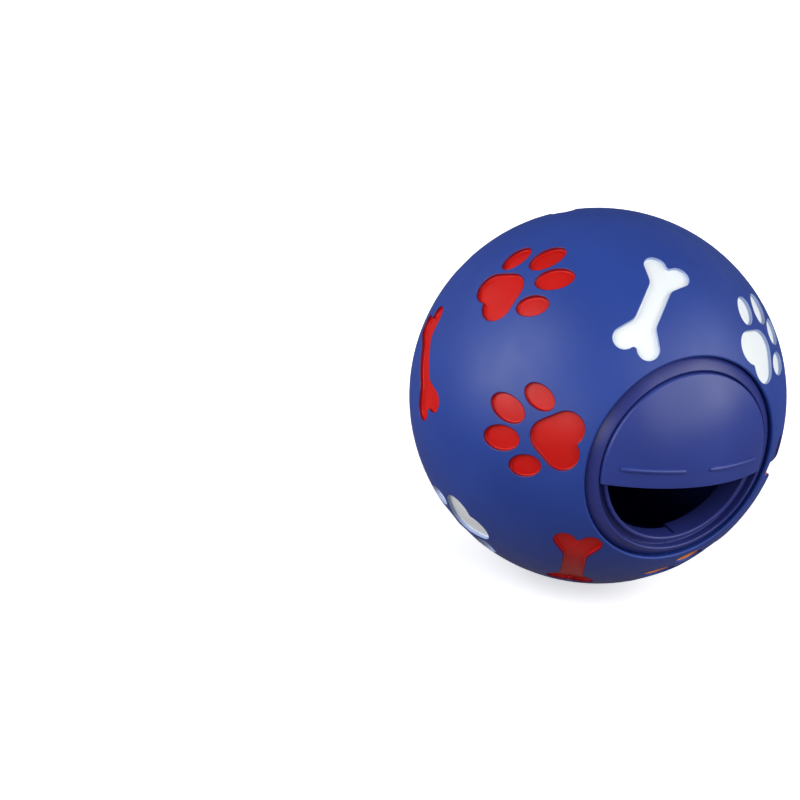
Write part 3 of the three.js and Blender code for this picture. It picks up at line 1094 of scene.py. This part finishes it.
def moulded(name, deep, pale, rough, grain_scale, grain):
    """A moulded plastic: cloudy colour, uneven sheen and a fine skin."""
    material, nodes, links, principled = shader(name)
    where = coordinates(nodes)
    cloud = noise(nodes, links, where, *plastic_cloud)
    body = ramp(nodes, links, cloud, [(noise_low, deep), (noise_high, pale)])
    links.new(body, principled.inputs["Base Color"])
    sheen = noise(nodes, links, where, *plastic_sheen)
    links.new(spread_value(nodes, links, sheen, *rough), principled.inputs["Roughness"])
    principled.inputs["Specular IOR Level"].default_value = plastic_gloss
    grain_bump(nodes, links, where, grain_scale, grain, principled)
    return material


def painted(name, deep, pale, thin_paint_and_shade, fade):
    """Sprayed paint: a little uneven, and thinner towards the lip of the recess, where the red and orange
    also darken on the walls as painted shade.
    """
    material, nodes, links, principled = shader(name)
    where = coordinates(nodes)
    cloud = noise(nodes, links, where, *paint_cloud)
    body = ramp(nodes, links, cloud, [(noise_low, deep), (noise_high, pale)])
    lip = nodes.new("ShaderNodeAttribute")
    lip.attribute_name = "near_lip"
    thinning_and_shade = nodes.new("ShaderNodeMapRange")
    thinning_and_shade.inputs["From Min"].default_value = fade[0]
    thinning_and_shade.inputs["From Max"].default_value = fade[1]
    thinning_and_shade.inputs["To Max"].default_value = thin_and_shade_share
    links.new(lip.outputs["Fac"], thinning_and_shade.inputs["Value"])
    # Painted shade: towards the lip, the red and orange turn darker than thin paint over vinyl, so their
    # recess walls look shaded
    mix = nodes.new("ShaderNodeMix")
    mix.data_type = "RGBA"
    mix.inputs["B"].default_value = (*thin_paint_and_shade, 1)
    links.new(thinning_and_shade.outputs["Result"], mix.inputs["Factor"])
    links.new(body, mix.inputs["A"])
    links.new(mix.outputs["Result"], principled.inputs["Base Color"])
    sheen = noise(nodes, links, where, *paint_sheen)
    links.new(spread_value(nodes, links, sheen, *paint_rough), principled.inputs["Roughness"])
    principled.inputs["Specular IOR Level"].default_value = paint_gloss
    grain_bump(nodes, links, where, paint_grain_scale, paint_grain, principled)
    return material


def dress(obj, material, body, node=None):
    """Give a piece its finish and the body it rides, and hide the CAD node that it stands for."""
    obj.data.materials.clear()
    obj.data.materials.append(material)
    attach(obj, body)
    if node:
        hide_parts(node)


# The pieces

placed_recesses = all_recesses()

ball_skin = make_ball_skin(placed_recesses)
dress(ball_skin, moulded("vinyl_blue", **vinyl_look), "ball", "ball_shell")
red_motifs = make_paint("paint_red_motifs", placed_recesses, "red")
dress(red_motifs, painted("paint_red", **red_look), "ball")
white_motifs = make_paint("paint_white_motifs", placed_recesses, "white")
dress(white_motifs, painted("paint_white", **white_look), "ball")
orange_motifs = make_paint("paint_orange_motifs", placed_recesses, "orange")
dress(orange_motifs, painted("paint_orange", **orange_look), "ball")

insert_ring = make_insert_collar()
smooth(insert_ring)
dress(insert_ring, moulded("collar_plastic", **collar_look), "ball", "insert_collar")

dial_cap = make_shutter_dial()
smooth(dial_cap, dome_radius)
dress(dial_cap, moulded("dial_plastic", **dial_look), "dial", "shutter_dial")


# Floor, light and camera

def stage_white():
    """A pale finish that glows more the further it is from the ball."""
    material, nodes, links, principled = shader("stage_white")
    cloud = noise(nodes, links, coordinates(nodes), *stage_cloud)
    body = ramp(nodes, links, cloud, [(noise_low, stage_deep), (noise_high, stage_pale)])
    links.new(body, principled.inputs["Base Color"])
    principled.inputs["Roughness"].default_value = stage_rough
    principled.inputs["Emission Color"].default_value = (1, 1, 1, 1)
    distance = nodes.new("ShaderNodeVectorMath")
    distance.operation = "LENGTH"
    links.new(coordinates(nodes), distance.inputs[0])
    glow = nodes.new("ShaderNodeMapRange")
    glow.inputs["From Max"].default_value = floor_white_from
    glow.inputs["To Min"].default_value = floor_glow
    links.new(distance.outputs["Value"], glow.inputs["Value"])
    links.new(glow.outputs["Result"], principled.inputs["Emission Strength"])
    return material


def make_stage():
    """A white floor inside a white dome, both seen by the camera but casting no light on the ball."""
    deselect()
    bpy.ops.mesh.primitive_plane_add(size=2 * stage_reach, location=(0, 0, -ball_radius * MM))
    floor = bpy.context.active_object
    floor.name = "floor"
    deselect()
    bpy.ops.mesh.primitive_uv_sphere_add(segments=dome_segments, ring_count=dome_rings, radius=stage_reach)
    dome = bpy.context.active_object
    dome.name = "backdrop"
    dome.visible_shadow = False
    material = stage_white()
    for obj in (floor, dome):
        obj.data.materials.append(material)
        obj.visible_diffuse = False
        obj.visible_glossy = False


def make_world():
    """Pale light from above and back from the ground, and less from the sides."""
    world = bpy.data.worlds.new("studio")
    bpy.context.scene.world = world
    world.use_nodes = True
    nodes, links = world.node_tree.nodes, world.node_tree.links
    ray = nodes.new("ShaderNodeSeparateXYZ")
    links.new(nodes.new("ShaderNodeTexCoord").outputs["Generated"], ray.inputs["Vector"])
    height = nodes.new("ShaderNodeMapRange")
    height.inputs["From Min"].default_value = -1
    links.new(ray.outputs["Z"], height.inputs["Value"])
    by_height = [(0.0, ground_light), (0.5, side_light), (1.0, top_light)]
    sky = ramp(nodes, links, height.outputs["Result"], by_height)
    links.new(sky, nodes["Background"].inputs["Color"])


def direction(azimuth, elevation):
    """The direction from the ball at two angles in degrees, the azimuth from -Y towards +X."""
    around, up = math.radians(azimuth), math.radians(elevation)
    return Vector((math.sin(around) * math.cos(up), -math.cos(around) * math.cos(up), math.sin(up)))


def soft_box(name, azimuth, elevation, width, height, power, mirrored):
    """A soft box that faces the ball."""
    data = bpy.data.lights.new(name, "AREA")
    data.shape = "RECTANGLE"
    data.size = width
    data.size_y = height
    data.energy = power
    light = bpy.data.objects.new(name, data)
    light.visible_glossy = mirrored
    towards = direction(azimuth, elevation)
    light.location = towards * light_distance
    light.rotation_euler = towards.to_track_quat("Z", "Y").to_euler()
    bpy.context.collection.objects.link(light)


def make_camera():
    """The camera of the photograph: it looks so that the ball's middle falls on its pixel."""
    back = direction(camera_azimuth, camera_elevation)
    azimuth, roll = math.radians(camera_azimuth), math.radians(camera_roll)
    level_right = Vector((math.cos(azimuth), math.sin(azimuth), 0))
    level_up = back.cross(level_right)
    right = math.cos(roll) * level_right + math.sin(roll) * level_up
    up = -math.sin(roll) * level_right + math.cos(roll) * level_up
    focal = ball_pixel_radius * math.sqrt(camera_distance ** 2 - 1)
    half = frame_pixels / 2
    ahead = (-back * focal - right * (ball_pixel_x - half) + up * (ball_pixel_y - half)).normalized()
    camera_right = ahead.cross(up).normalized()
    camera_up = camera_right.cross(ahead)
    data = bpy.data.cameras.new("camera")
    data.sensor_width = sensor_width
    data.lens = focal * sensor_width / frame_pixels
    camera = bpy.data.objects.new("camera", data)
    turn = Matrix((camera_right, camera_up, -ahead)).transposed()
    place = Matrix.Translation(back * camera_distance * ball_radius * MM)
    camera.matrix_world = place @ turn.to_4x4()
    bpy.context.collection.objects.link(camera)
    bpy.context.scene.camera = camera


make_stage()
make_world()
for box_name, box_values in soft_boxes.items():
    soft_box(box_name, *box_values)
make_camera()
bpy.context.scene.view_settings.view_transform = "Standard"
